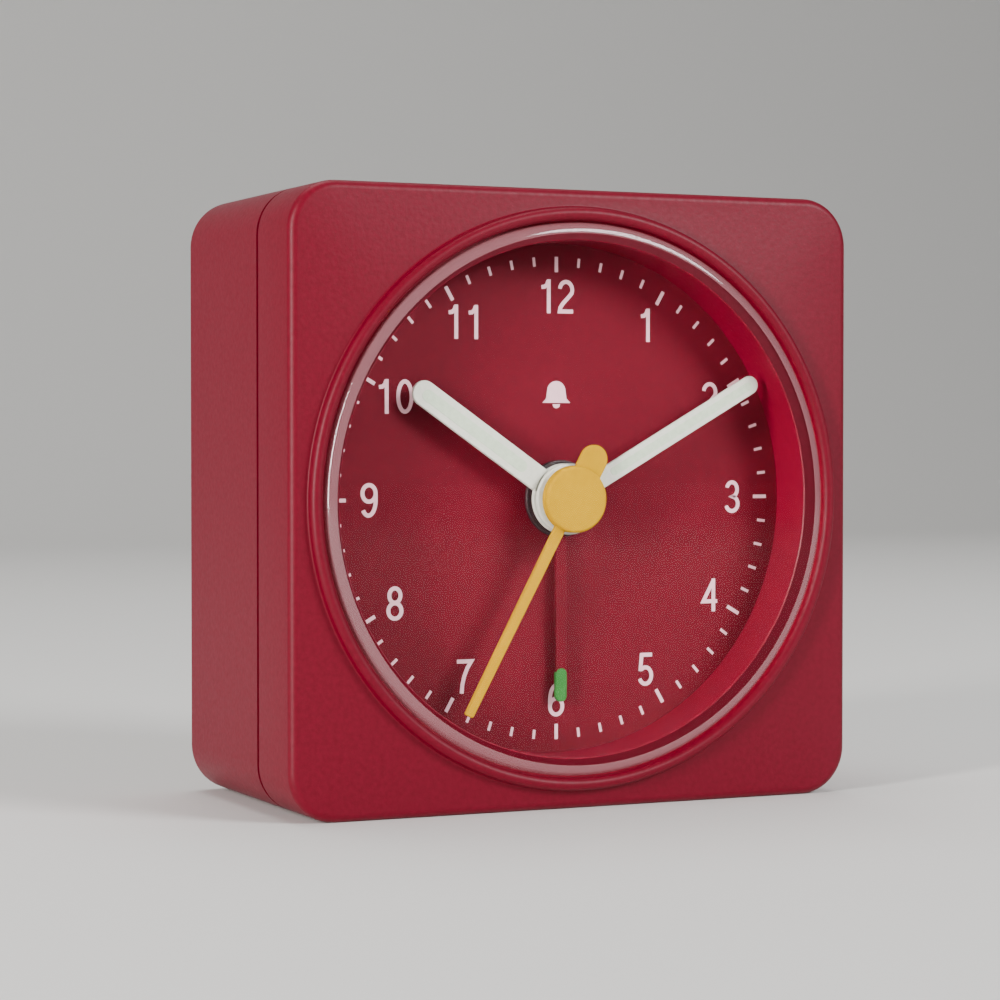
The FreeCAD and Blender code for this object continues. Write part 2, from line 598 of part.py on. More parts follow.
def make_train():
    """The going train from the rotor to the centre wheel, and the motion work to the hour wheel."""
    thick = num("wheel_thick")
    spare = (num("pinion_thick") - thick) / 2
    front_pivot = num("movement") + num("plate_thick") / 2
    back_pivot = num("back_plate") + num("plate_thick") / 2

    third = meshed(0, "second_pinion", "hand", "third_teeth", "third")
    wheel_piece("second_wheel", "hand", [
        rod(num("second_depth + blade_thick"), back_pivot, "arbor_radius"),
        pinion("third_level", "train_module", "second_pinion", 0),
        wheel("second_level", INTER_MODULE, "second_teeth", 0)])
    wheel_piece("third_wheel", "third", [
        rod(front_pivot, back_pivot, "pivot_radius"),
        wheel("third_level", "train_module", "third_teeth", third),
        pinion("centre_level", CENTRE_MODULE, "third_pinion", 0)])
    centre = meshed(0, "third_pinion", "third", "centre_teeth", "hand")
    wheel_piece("centre_wheel", "hand", [
        rod(num("minute_depth"), level("motion_level", -spare), PIPES[1]),
        pinion("motion_level", "motion_module", "cannon_teeth", 0),
        rod(level("motion_level", thick + spare), level("centre_level", thick), PIPES[1]),
        wheel("centre_level", CENTRE_MODULE, "centre_teeth", centre)], "arbor_radius + run_fit")
    inter = meshed(0, "second_teeth", "hand", "inter_pinion", "inter")
    wheel_piece("intermediate_wheel", "inter", [
        rod(front_pivot, back_pivot, "pivot_radius"),
        pinion("second_level", INTER_MODULE, "inter_pinion", inter),
        wheel("inter_level", "rotor_module", "inter_teeth", 0)])
    magnet = level("inter_level", 2 * thick)
    wheel_piece("rotor", "rotor", [
        rod(front_pivot, back_pivot, "pivot_radius"),
        pinion("inter_level", "rotor_module", "rotor_pinion",
               meshed(0, "inter_teeth", "inter", "rotor_pinion", "rotor")),
        rod(magnet, magnet + num("rotor_thick"), "rotor_radius")])

    motion = meshed(0, "cannon_teeth", "hand", "motion_teeth", "motion")
    wheel_piece("motion_wheel", "motion", [
        wheel("motion_level", "motion_module", "motion_teeth", motion),
        pinion("hour_level", HOUR_MODULE, "motion_pinion", 0),
        rod(level("hour_level", -spare), level("motion_level", thick), "pivot_radius + pipe_wall")],
        "pivot_radius + run_fit")
    wheel_piece("hour_wheel", "hand", [
        rod(num("hour_depth"), level("hour_level", thick), PIPES[2]),
        wheel("hour_level", HOUR_MODULE, "hour_teeth",
              meshed(0, "motion_pinion", "motion", "hour_teeth", "hand"))], f"{PIPES[1]} + run_fit")
    wheel_piece("alarm_wheel", "hand", [
        rod(num("alarm_depth"), level("alarm_level", thick), PIPES[3]),
        wheel("alarm_level", ALARM_MODULE, "alarm_teeth", 0)], f"{PIPES[2]} + run_fit")

    shoulder = level("motion_level", 2 * thick)
    knob_end = num("case_depth - recess_depth + 2 * run_fit + knob_thick / 2")
    wheel_piece("time_set_shaft", "time_set", [
        rod(front_pivot, shoulder, "arbor_radius"), rod(shoulder, knob_end, "shaft_radius"),
        pinion("motion_level", "motion_module", "set_teeth",
               meshed(motion, "motion_teeth", "motion", "set_teeth", "time_set"))])
    wheel_piece("alarm_set_shaft", "alarm_set", [
        rod(front_pivot, shoulder, "arbor_radius"), rod(shoulder, knob_end, "shaft_radius"),
        wheel("alarm_level", ALARM_MODULE, "alarm_set_teeth",
              meshed(0, "alarm_teeth", "hand", "alarm_set_teeth", "alarm_set"))])


# ---------------------------------------------------------------- movement frame and motor
PILLARS = [(f"{side}pillar_x", height) for side in ("-", "") for height in ("pillar_low", "pillar_high")]
PIVOTS = ("third", "inter", "rotor")
STATOR = "(movement + inter_level + 2 * wheel_thick + (rotor_thick - stator_thick) / 2)"
COIL_DEPTH = f"({STATOR} + stator_thick / 2)"
ROTOR_X, ROTOR_Z = AXES["rotor"]


def make_front_plate():
    """The plate behind the dial, with four pillars and the stud that the motion wheel turns on."""
    body = new_body("movement_front_plate")
    grow(body, "front", "movement", "plate_thick",
         box("-plate_half", "plate_bottom", "plate_half", "plate_top", "plate_corner"))
    grow(body, "front", "movement + plate_thick", "back_plate_level - plate_thick",
         *[disc(x, z, "pillar_radius") for x, z in PILLARS])
    grow(body, "front", "movement + plate_thick", "motion_level + wheel_thick - plate_thick",
         disc(*AXES["motion"], "pivot_radius"))
    grow(body, "front", "movement + plate_thick", "leaf_post_height",
         box("alarm_leaf_x", "axis_height + alarm_leaf_rise",
             "alarm_leaf_x + leaf_post_width", "axis_height + alarm_leaf_rise + leaf_post_up"))
    cut(body, "front", "movement", "plate_thick", disc("0", "axis_height", f"{PIPES[3]} + run_fit"),
        *[disc(*AXES[name], "pivot_radius + run_fit") for name in PIVOTS],
        *[disc(*AXES[name], "arbor_radius + run_fit") for name in ("time_set", "alarm_set")])
    cut(body, "front", "back_plate - small_reach - screw_end", "small_reach + screw_end",
        *[disc(x, z, "small_screw") for x, z in PILLARS])


def make_back_plate():
    """The plate behind the wheels, with bosses that clamp the stator and posts for the board."""
    body = new_body("movement_back_plate")
    grow(body, "front", "back_plate", "plate_thick",
         box("-plate_half", "plate_bottom", "plate_half", "back_plate_top", "plate_corner"))
    grow(body, "front", f"{STATOR} + stator_thick", f"back_plate - {STATOR} - stator_thick",
         *[disc(f"{ROTOR_X} + {side}(stator_reach - clamp_inset)", ROTOR_Z, "clamp_radius")
           for side in ("-", "")])
    grow(body, "front", "back_plate + plate_thick", "board_depth - back_plate - plate_thick",
         *[disc(x, "board_bottom + post_rise", "post_radius") for x in ("-post_x", "post_x")])
    cut(body, "front", "back_plate", "plate_thick", disc("0", "axis_height", "arbor_radius + run_fit"),
        *[disc(*AXES[name], "pivot_radius + run_fit") for name in PIVOTS],
        *[disc(*AXES[name], "shaft_radius + run_fit") for name in ("time_set", "alarm_set")],
        *[disc(x, z, "small_screw") for x, z in PILLARS])


def make_movement_screws():
    body = new_body("movement_screws")
    body.AllowCompound = True
    grow(body, "front", "back_plate - small_reach", "small_reach + plate_thick",
         *[disc(x, z, "small_screw - press_fit") for x, z in PILLARS])
    grow(body, "front", "back_plate + plate_thick", "small_head_thick",
         *[disc(x, z, "small_head") for x, z in PILLARS])


def make_stator():
    """A loop of soft iron: pole bar round the rotor, two legs, and the core that the coil sits on."""
    body = new_body("stator")
    edge = "stator_reach"
    grow(body, "front", STATOR, "stator_thick",
         box(f"{ROTOR_X} - {edge}", f"{ROTOR_Z} - stator_bar / 2", f"{ROTOR_X} + {edge}",
             "coil_height + core_width / 2"),
         box(f"{ROTOR_X} - {edge} + core_width", f"{ROTOR_Z} + stator_bar / 2",
             f"{ROTOR_X} + {edge} - core_width", "coil_height - core_width / 2"))
    cut(body, "front", STATOR, "stator_thick", disc(ROTOR_X, ROTOR_Z, "rotor_radius + rotor_gap"))


def make_coil():
    """The bobbin on the core, and its winding."""
    bobbin = new_body("coil_bobbin")
    half = "(coil_half + bobbin_wall)"
    tube = "(bobbin_wall + core_width / 2 + bobbin_gap)"
    grow(bobbin, "side", f"{ROTOR_X} - {half}", f"2 * {half}", disc(COIL_DEPTH, "coil_height", tube))
    for side in (f"{ROTOR_X} - {half}", f"{ROTOR_X} + coil_half"):
        grow(bobbin, "side", side, "bobbin_wall", disc(COIL_DEPTH, "coil_height", "bobbin_flange"))
    cut(bobbin, "side", f"{ROTOR_X} - {half}", f"2 * {half}",
        box(f"{STATOR} - run_fit", "coil_height - core_width / 2 - run_fit",
            f"{STATOR} + stator_thick + run_fit", "coil_height + core_width / 2 + run_fit"))
    winding = new_body("coil_winding")
    grow(winding, "side", f"{ROTOR_X} - coil_half", "2 * coil_half",
         disc(COIL_DEPTH, "coil_height", "coil_radius"), disc(COIL_DEPTH, "coil_height", tube))


# ---------------------------------------------------------------- electronics


def make_board():
    """The board, and what is soldered to its back: chip, crystal, capacitor, buzzer, switch contact."""
    body = new_body("circuit_board")
    grow(body, "front", "board_depth", "board_thick",
         box("-board_half", "board_bottom", "board_half", "board_top", "board_corner"))
    chip = new_body("chip_cover")
    grow(chip, "front", "board_back", "chip_thick", disc("chip_x", "board_bottom + chip_up", "chip_radius"))
    soften(chip, "chip_edge", lambda edge: at_depth(edge, "board_back + chip_thick"))
    crystal = new_body("quartz_crystal")
    grow(crystal, "side", "crystal_x", "crystal_length",
         disc("board_back + crystal_radius", "board_bottom + crystal_up", "crystal_radius"))
    capacitor = new_body("capacitor")
    grow(capacitor, "front", "board_back", "can_length", disc("can_x", "board_bottom + can_up", "can_radius"))
    buzzer = new_body("buzzer")
    grow(buzzer, "front", "board_back", "buzzer_thick", disc("buzzer_x", "buzzer_height", "buzzer_radius"))
    cut(buzzer, "front", "board_back + buzzer_thick - port_depth", "port_depth",
        disc("buzzer_x", "buzzer_height", "buzzer_port"))
    soften(buzzer, "buzzer_edge", lambda edge: at_depth(edge, "board_back + buzzer_thick") and
           wide(edge, "buzzer_radius"))
    contact = new_body("switch_contact")
    grow(contact, "front", "board_back", "contact_height",
         switch_box("thumb_width", "thumb_height", "contact_margin"))


def make_leaves():
    """The sprung contacts of the alarm wheel and of the snooze bar."""
    alarm = new_body("alarm_contact_spring")
    middle = "(axis_height + alarm_leaf_rise + leaf_post_up / 2)"
    tip = f"-{HOUR_MODULE} * (hour_teeth / 2 + tooth_tip) - alarm_leaf_gap"
    grow(alarm, "front", "movement + plate_thick + leaf_post_height", "alarm_leaf_thick",
         box("alarm_leaf_x", f"{middle} - alarm_leaf_width / 2", tip, f"{middle} + alarm_leaf_width / 2"))
    snooze = new_body("snooze_contact")
    grow(snooze, "front", "board_back", "leaf_thick",
         box("-leaf_half", "board_top - leaf_root", "leaf_half", "leaf_low + leaf_thick"))
    grow(snooze, "top", "leaf_low", "leaf_thick",
         box("-leaf_half", "leaf_front", "leaf_half", "board_back + leaf_thick / 2"))


# ---------------------------------------------------------------- battery
CELL_LEFT = "(-inner_half + contact_thick + nub_length)"
CELL_RIGHT = f"({CELL_LEFT} + cell_length)"


def make_battery():
    """The cell, and the two contact plates with their tails."""
    cell = new_body("battery")
    grow(cell, "side", CELL_LEFT, "cell_length", disc("cell_depth", "cell_height", "cell_radius"))
    soften(cell, "cell_edge", lambda edge: edge.BoundBox.XLength < 1e-4)
    grow(cell, "side", f"{CELL_LEFT} - nub_length", "nub_length",
         disc("cell_depth", "cell_height", "nub_radius"))
    for label, start in (("battery_contact_positive", "-inner_half"),
                         ("battery_contact_negative", "inner_half - contact_thick")):
        plate = new_body(label)
        grow(plate, "side", start, "contact_thick",
             box("cell_depth - contact_half", "cell_height - contact_half",
                 "cell_depth + contact_half", "cell_height + contact_up"))
        grow(plate, "side", start, "contact_thick",
             box("cell_depth - tail_half", "cell_height + contact_half",
                 "cell_depth + tail_half", "box_top + tail_over"))


def make_contact_spring():
    """The coil spring between the negative plate and the cell."""
    length = num(f"inner_half - contact_thick - {CELL_RIGHT}")
    wire = num("spring_wire")
    helix = Part.makeHelix((length - wire) / 2, length - wire, num("nub_radius"))
    profile = Part.Wire(Part.makeCircle(wire / 2, Vector(num("nub_radius"), 0, 0), Vector(0, 1, 0)))
    spring = document.addObject("Part::Feature", "battery_spring")
    spring.Shape = Part.Wire(helix).makePipeShell([profile], True, True)
    place = Vector(num(CELL_RIGHT) + wire / 2, num(f"{FRONT} + cell_depth"), num("cell_height"))
    spring.Placement = Placement(place, Rotation(Vector(0, 1, 0), 90))
    PIECES["battery_spring"] = spring


def make_leads():
    """Two short insulated wires, from the contact tails to the edges of the board."""
    radius = num("lead_radius")
    wires = []
    for side in (-1, 1):
        start = Vector(side * (num("inner_half - lead_gap") - radius), num(f"{FRONT} + cell_depth"),
                       num("box_top + tail_over") + radius)
        end = Vector(side * (num("board_half") + radius), num(f"{FRONT} + board_depth + board_thick / 2"),
                     num("board_bottom + lead_up"))
        wires.append(Part.makeCylinder(radius, (end - start).Length, start, end - start))
    leads = document.addObject("Part::Feature", "battery_leads")
    leads.Shape = Part.makeCompound(wires)
    PIECES["battery_leads"] = leads


# ---------------------------------------------------------------- controls
def make_knob(label, axis):
    """A flush knob with a notched rim."""
    body = new_body(label)
    start = "case_depth - recess_depth + run_fit"
    grow(body, "front", start, "knob_thick", disc("0", "0", "knob_radius"))
    cut(body, "front", start, "knob_thick / 2 + run_fit", disc("0", "0", "shaft_radius"))
    soften(body, "knob_edge", lambda edge: at_depth(edge, f"{start} + knob_thick"))
    notch = cut(body, "front", start, "knob_thick",
                disc("0", "knob_radius + notch_radius / 2", "notch_radius"))
    around(body, notch, "knob_notches")
    x, z = AXES[axis]
    body.setExpression("Placement.Base.x", bound(x))
    body.setExpression("Placement.Base.z", bound(z))


def make_snooze_bar():
    """The bar in the top of the case, held in by the flange under the wall."""
    body = new_body("snooze_bar")
    grow(body, "top", "bar_low", "flange", bar_box("bar_flange"))
    grow(body, "top", "bar_low + flange", "wall - run_fit", bar_box("0"))
    soften(body, "bar_edge", lambda edge: at_height(edge, "case_height - 2 * run_fit"))


def make_alarm_switch():
    """The slider at the back: thumb piece, shank through the wall, and the finger inside."""
    body = new_body("alarm_switch")
    thumb = slider_box("thumb_width", "thumb_height")
    shank = slider_box("shank_width", "shank_height")
    grow(body, "front", "switch_front", "rear_inside - flange - switch_front", shank)
    grow(body, "front", "rear_inside - flange", "flange - run_fit", thumb)
    grow(body, "front", "rear_inside - run_fit", "rear_wall - thumb_thick", shank)
    grow(body, "front", "case_depth - thumb_thick - run_fit", "thumb_thick", thumb)


def slider_box(width, height):
    return box(f"switch_x - {width} / 2", f"switch_height - {height} / 2",
               f"switch_x + {width} / 2", f"switch_height + {height} / 2")


# ---------------------------------------------------------------- build, check and write
def build():
    make_front_case()
    make_rear_case()
    make_lens()
    make_battery_door()
    make_case_screws()
    make_dial()
    make_hand("hour_hand", "hour_depth", "hour_length", "hour_width", PIPES[2], "hour_hub", "hour_angle")
    make_hand("minute_hand", "minute_depth", "minute_length", "minute_width", PIPES[1], "hub_radius",
              "minute_angle")
    make_second_hand()
    make_alarm_hand()
    make_train()
    make_front_plate()
    make_back_plate()
    make_movement_screws()
    make_stator()
    make_coil()
    make_board()
    make_leaves()
    make_battery()
    make_contact_spring()
    make_leads()
    make_knob("time_knob", "time_set")
    make_knob("alarm_knob", "alarm_set")
    make_snooze_bar()
    make_alarm_switch()
    document.recompute()


def check():
    """Stop before writing anything if an object failed or a piece is not a valid solid."""
    for item in document.Objects:
        if "Invalid" in item.State or "Error" in item.State:
            raise RuntimeError(f"{item.Label} failed: {item.State}")
    for label, piece in PIECES.items():
        if piece.Shape.isNull() or not piece.Shape.isValid() or not piece.Shape.Solids:
            raise RuntimeError(f"{label} is not a valid solid")


build()
check()
os.makedirs("parts", exist_ok=True)
for label, piece in PIECES.items():
    piece.Shape.exportStep(f"parts/{label}.step")
    extent = piece.Shape.BoundBox
    print(f"{label}: {len(piece.Shape.Solids)} solid(s), {piece.Shape.Volume:.2f} mm3, "
          f"X {extent.XMin:.2f}..{extent.XMax:.2f}, Y {extent.YMin:.2f}..{extent.YMax:.2f}, "
          f"Z {extent.ZMin:.2f}..{extent.ZMax:.2f}")
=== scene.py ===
"""Looks of the square travel alarm clock: red moulded case, clear lens, printed dial, painted hands."""
import json
import math

import bmesh
import bpy
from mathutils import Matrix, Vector


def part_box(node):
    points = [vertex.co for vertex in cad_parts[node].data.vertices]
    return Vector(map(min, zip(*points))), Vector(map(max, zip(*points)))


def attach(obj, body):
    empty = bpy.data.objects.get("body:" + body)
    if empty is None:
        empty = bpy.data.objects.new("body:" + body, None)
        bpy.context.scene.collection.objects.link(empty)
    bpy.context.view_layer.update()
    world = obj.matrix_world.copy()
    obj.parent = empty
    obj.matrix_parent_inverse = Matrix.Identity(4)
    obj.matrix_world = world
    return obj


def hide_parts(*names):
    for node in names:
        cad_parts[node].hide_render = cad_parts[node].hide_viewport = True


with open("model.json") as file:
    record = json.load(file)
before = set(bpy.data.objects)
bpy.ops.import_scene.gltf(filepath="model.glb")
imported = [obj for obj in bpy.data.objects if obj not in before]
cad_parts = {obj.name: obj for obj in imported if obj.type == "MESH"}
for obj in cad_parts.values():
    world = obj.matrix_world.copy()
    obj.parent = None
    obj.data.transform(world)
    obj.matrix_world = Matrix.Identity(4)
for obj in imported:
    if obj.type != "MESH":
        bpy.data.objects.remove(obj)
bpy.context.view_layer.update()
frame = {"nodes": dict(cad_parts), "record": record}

# ---------------------------------------------------------------- sizes, in millimetres
MM = 0.001
LIP_STAND = 1.0
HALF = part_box("front_case")[1].x / MM
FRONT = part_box("front_case")[0].y / MM + LIP_STAND
AXIS = (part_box("dial")[0].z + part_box("dial")[1].z) / 2 / MM
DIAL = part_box("dial")[0].y / MM - FRONT
DIAL_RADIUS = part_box("dial")[1].x / MM
SEAM = 8.2
CORNER = 4.5
WALL = 1.8
EDGE = 0.8
LIP_OUTER, LIP_INNER = 26.8, 25.6
LENS_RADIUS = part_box("lens")[1].x / MM
LENS_SEAT = 0.2
WINDOW = 23.8
SLEEVE = 25.0
TINY = 0.01  # the radius at which a turned shape is closed at its middle
ROUND = 256  # points round a circle about the hand axis
SUNK = 0.01  # how far a raised mark reaches into what it stands on
HOUR_ANGLE, MINUTE_ANGLE, SECOND_ANGLE, ALARM_ANGLE = 304.4, 60.8, 208.5, 180.0


def at(x, z, depth):
    """A point given from the hand axis (x to the right, z up) and from the front plane backwards."""
    return Vector((x * MM, (FRONT + depth) * MM, (AXIS + z) * MM))


# ---------------------------------------------------------------- materials
def srgb(red, green, blue):
    """A colour given as 0 to 255 screen values."""
    def linear(value):
        value /= 255
        return value / 12.92 if value <= 0.04045 else ((value + 0.055) / 1.055) ** 2.4
    return (linear(red), linear(green), linear(blue), 1)


def new_material(name, color, roughness, metallic=0.0, **sockets):
    material = bpy.data.materials.new(name)
    material.use_nodes = True
    shader = material.node_tree.nodes["Principled BSDF"]
    shader.inputs["Base Color"].default_value = color
    shader.inputs["Roughness"].default_value = roughness
    shader.inputs["Metallic"].default_value = metallic
    for socket, value in sockets.items():
        shader.inputs[socket.replace("_", " ")].default_value = value
    return material


def node(material, kind, **sockets):
    item = material.node_tree.nodes.new(kind)
    for socket, value in sockets.items():
        item.inputs[socket].default_value = value
    return item


def join(material, source, target):
    material.node_tree.links.new(source, target)


def place(material, stretch=(1, 1, 1)):
    """Object coordinates, optionally stretched, so that grain has one scale over every piece."""
    coordinates = node(material, "ShaderNodeTexCoord")
    mapping = node(material, "ShaderNodeMapping")
    mapping.inputs["Scale"].default_value = stretch
    join(material, coordinates.outputs["Object"], mapping.inputs["Vector"])
    return mapping.outputs["Vector"]


def mottle(material, color, other, size):
    """Colour that drifts between two tones in patches of a size in millimetres."""
    low, high = 0.3, 0.7
    vector = place(material)
    noise = node(material, "ShaderNodeTexNoise", Scale=1000 / size, Detail=3.0)
    ramp = node(material, "ShaderNodeValToRGB")
    ramp.color_ramp.elements[0].position = low
    ramp.color_ramp.elements[0].color = color
    ramp.color_ramp.elements[1].position = high
    ramp.color_ramp.elements[1].color = other
    join(material, vector, noise.inputs["Vector"])
    join(material, noise.outputs["Fac"], ramp.inputs["Fac"])
    shader = material.node_tree.nodes["Principled BSDF"]
    join(material, ramp.outputs["Color"], shader.inputs["Base Color"])


def grain(material, size, height, rough=None, stretch=(1, 1, 1)):
    """A fine moulded or brushed surface: bump of a height in millimetres, and roughness that varies."""
    vector = place(material, stretch)
    noise = node(material, "ShaderNodeTexNoise", Scale=1000 / size, Detail=2.0)
    bump = node(material, "ShaderNodeBump", Strength=1.0, Distance=height * MM)
    join(material, vector, noise.inputs["Vector"])
    join(material, noise.outputs["Fac"], bump.inputs["Height"])
    shader = material.node_tree.nodes["Principled BSDF"]
    join(material, bump.outputs["Normal"], shader.inputs["Normal"])
    if rough:
        spread = node(material, "ShaderNodeMapRange")
        spread.inputs["To Min"].default_value = rough[0]
        spread.inputs["To Max"].default_value = rough[1]
        join(material, noise.outputs["Fac"], spread.inputs["Value"])
        join(material, spread.outputs["Result"], shader.inputs["Roughness"])


def moulded(name, color, other, roughness, size=0.35, height=0.012, shine=0.5):
    """Plastic, paint or print in two close tones; the grain's size and height are in millimetres."""
    material = new_material(name, color, roughness, Specular_IOR_Level=shine)
    mottle(material, color, other, 0.5)
    grain(material, size, height, (roughness - 0.08, roughness + 0.08))
    return material


def clear_plastic(name, color, roughness, index, through):
    """Clear acrylic that lets light straight through to the dial."""
    material = new_material(name, color, roughness, Transmission_Weight=through, IOR=index)
    path = node(material, "ShaderNodeLightPath")
    open_air = node(material, "ShaderNodeBsdfTransparent")
    mix = node(material, "ShaderNodeMixShader")
    output = material.node_tree.nodes["Material Output"]
    shader = material.node_tree.nodes["Principled BSDF"]
    join(material, path.outputs["Is Shadow Ray"], mix.inputs["Fac"])
    join(material, shader.outputs["BSDF"], mix.inputs[1])
    join(material, open_air.outputs["BSDF"], mix.inputs[2])
    join(material, mix.outputs["Shader"], output.inputs["Surface"])
    return material


MATERIALS = {
    "case_red": moulded("case_red_plastic", srgb(101, 0, 25), srgb(111, 2, 31), 0.44, shine=0.2),
    "dial_red": moulded("dial_red_print", srgb(84, 2, 19), srgb(93, 4, 23), 0.7, 0.25, 0.006, 0.12),
    "clear": clear_plastic("coated_clear_acrylic", (1, 1, 1, 1), 0.02, 1.12, 1.0),
    "hand_white": moulded("hand_white_paint", srgb(196, 196, 182), srgb(205, 204, 190), 0.55, 0.4, 0.003),
    "hand_yellow": moulded("hand_yellow_paint", srgb(168, 126, 0), srgb(175, 132, 0), 0.7, 0.5, 0.003, 0.03),
    "hand_alarm": moulded("hand_dark_paint", srgb(30, 8, 12), srgb(38, 10, 15), 0.5, 0.4, 0.003),
    "black_plastic": moulded("black_plastic", srgb(30, 30, 32), srgb(38, 38, 41), 0.42),
    "gear_plastic": moulded("acetal", srgb(226, 222, 210), srgb(234, 231, 220), 0.35, 0.4, 0.003),
    "frame_plastic": moulded("grey_plastic", srgb(186, 186, 182), srgb(196, 196, 192), 0.5),
    "board": moulded("solder_mask", srgb(16, 84, 44), srgb(22, 96, 52), 0.3, 1.2, 0.02),
    "cell_jacket": moulded("cell_jacket", srgb(34, 34, 38), srgb(44, 44, 48), 0.25, 0.8, 0.003),
}


def metal(name, color, other, roughness, stretch):
    """Metal in two close tones, its grain drawn out along the axes that stretch names."""
    material = new_material(name, color, roughness, 1.0)
    mottle(material, color, other, 0.8)
    grain(material, 0.3, 0.004, (roughness - 0.08, roughness + 0.1), stretch)
    return material


MATERIALS["steel"] = metal("plated_steel", srgb(196, 196, 198), srgb(212, 212, 214), 0.28, (1, 1, 12))
MATERIALS["magnet"] = metal("sintered_magnet", srgb(78, 78, 84), srgb(92, 92, 98), 0.5, (1, 1, 1))
MATERIALS["copper"] = metal("enamelled_copper", srgb(196, 104, 58), srgb(212, 122, 72), 0.25, (30, 1, 1))
PRINT = moulded("dial_pink_print", srgb(222, 172, 180), srgb(229, 182, 190), 0.6, 0.3, 0.002)
LUME = moulded("pale_lume", srgb(178, 192, 166), srgb(190, 203, 178), 0.75, 0.22, 0.01)
GREEN = moulded("green_lume", srgb(34, 98, 34), srgb(42, 108, 42), 0.6, 0.25, 0.006, 0.2)
# Painted highlight: the clear rim gets a pale pink, partly opaque base colour that stands in for its bright
# band and for the red seen through the edge.
RIM_PAINTED_HIGHLIGHT = clear_plastic("rim_painted_highlight", srgb(226, 158, 166), 0.08, 1.5, 0.75)
MARK = moulded("pad_printed_mark", srgb(206, 150, 158), srgb(214, 160, 168), 0.6, 0.3, 0.002)

# A CAD node that stays in view takes the material of its slot.
for cad_node in frame["record"]["subparts"]:
    part = frame["nodes"][cad_node["node"]]
    part.data.materials.clear()
    part.data.materials.append(MATERIALS[cad_node["material_slot"]])


# ---------------------------------------------------------------- mesh helpers
def finish_piece(name, mesh, body, slot, material, *replaced):
    piece = bpy.data.objects.new(name, mesh)
    bpy.context.scene.collection.objects.link(piece)
    mesh.materials.append(material)
    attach(piece, body)
    if replaced:
        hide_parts(*replaced)
    return piece


def smooth(mesh, angle=35):
    mesh.shade_smooth()
    mesh.set_sharp_from_angle(angle=math.radians(angle))


def skin(loops, closed=False):
    """Points and faces of a skin through loops that all have the same number of points."""
    count = len(loops[0])
    points = [point for loop in loops for point in loop]
    faces = []
    last = len(loops) if closed else len(loops) - 1
    for row in range(last):
        after = (row + 1) % len(loops)
        for k in range(count):
            step = (k + 1) % count
            faces.append((row * count + k, row * count + step, after * count + step, after * count + k))
    if not closed:
        faces.append(tuple(range(count))[::-1])
        faces.append(tuple((len(loops) - 1) * count + k for k in range(count)))
    return points, faces


def solid_mesh(name, parts):
    """One mesh of separate closed shells, each given as points and faces."""
    points, faces = [], []
    for some_points, some_faces in parts:
        start = len(points)
        points += some_points
        faces += [tuple(start + corner for corner in face) for face in some_faces]
    mesh = bpy.data.meshes.new(name)
    mesh.from_pydata(points, [], faces)
    tidy = bmesh.new()
    tidy.from_mesh(mesh)
    bmesh.ops.recalc_face_normals(tidy, faces=tidy.faces)
    tidy.to_mesh(mesh)
    tidy.free()
    return mesh


def loft(name, loops, closed=False):
    mesh = solid_mesh(name, [skin(loops, closed)])
    smooth(mesh)
    return mesh


def even_turns(count):
    return [2 * math.pi * k / count for k in range(count)]


def ring(radius, depth, turns):
    """A circle about the hand axis, its points in the given directions."""
    return [at(radius * math.sin(turn), radius * math.cos(turn), depth) for turn in turns]


def turned_shape(name, profile, closed=False):
    """A shape turned about the hand axis, its profile given as (radius, depth) pairs."""
    turns = even_turns(ROUND)
    return loft(name, [ring(radius, depth, turns) for radius, depth in profile], closed)


def reach(turn, half, corner):
    """How far a rounded square reaches from its centre in one direction."""
    across, up = abs(math.sin(turn)), abs(math.cos(turn))
    flat = half - corner
    side = half / max(across, up)
    if min(across, up) * side <= flat:
        return side
    along = flat * (across + up)
    return along + math.sqrt(along ** 2 - 2 * flat ** 2 + corner ** 2)


def square(half, corner, depth, turns):
    """A rounded square about the hand axis, its points in the given directions."""
    spots = ((turn, reach(turn, half, corner)) for turn in turns)
    return [at(far * math.sin(turn), far * math.cos(turn), depth) for turn, far in spots]


def square_turns(half, corner, side_steps, corner_steps):
    """Directions that give a rounded square evenly spaced points along its sides and corners."""
    flat = half - corner
    turns = []
    for quarter in range(4):
        base = quarter * math.pi / 2
        for k in range(side_steps):
            turns.append(base + math.atan2(flat * (2 * k / side_steps - 1), half))
        for k in range(corner_steps):
            bend = math.pi / 2 * k / corner_steps
            turns.append(base + math.atan2(flat + corner * math.sin(bend), flat + corner * math.cos(bend)))
    return turns


def arc(start, end, bulge, steps):
    """Points of a quarter turn between two (radius, depth) pairs; bulge says which leads."""
    points = []
    for k in range(steps + 1):
        bend = math.pi / 2 * k / steps
        fast, slow = math.sin(bend), 1 - math.cos(bend)
        first, second = (fast, slow) if bulge else (slow, fast)
        points.append((start[0] + (end[0] - start[0]) * first, start[1] + (end[1] - start[1]) * second))
    return points


# ---------------------------------------------------------------- front case
SIDE_STEPS, CORNER_STEPS = 48, 16
DRAFT = ((0, 0), (0.02, 4), (0.05, 6.3))  # how much thicker the wall is, at distances from the seam
SKIRT = 0.22  # the fillet at the foot of the ring
RELIEF = 0.12  # the chamfer at the seam
BREAK = 0.1  # the chamfers of the window
SOFT = 0.06  # the chamfer of the lens seat


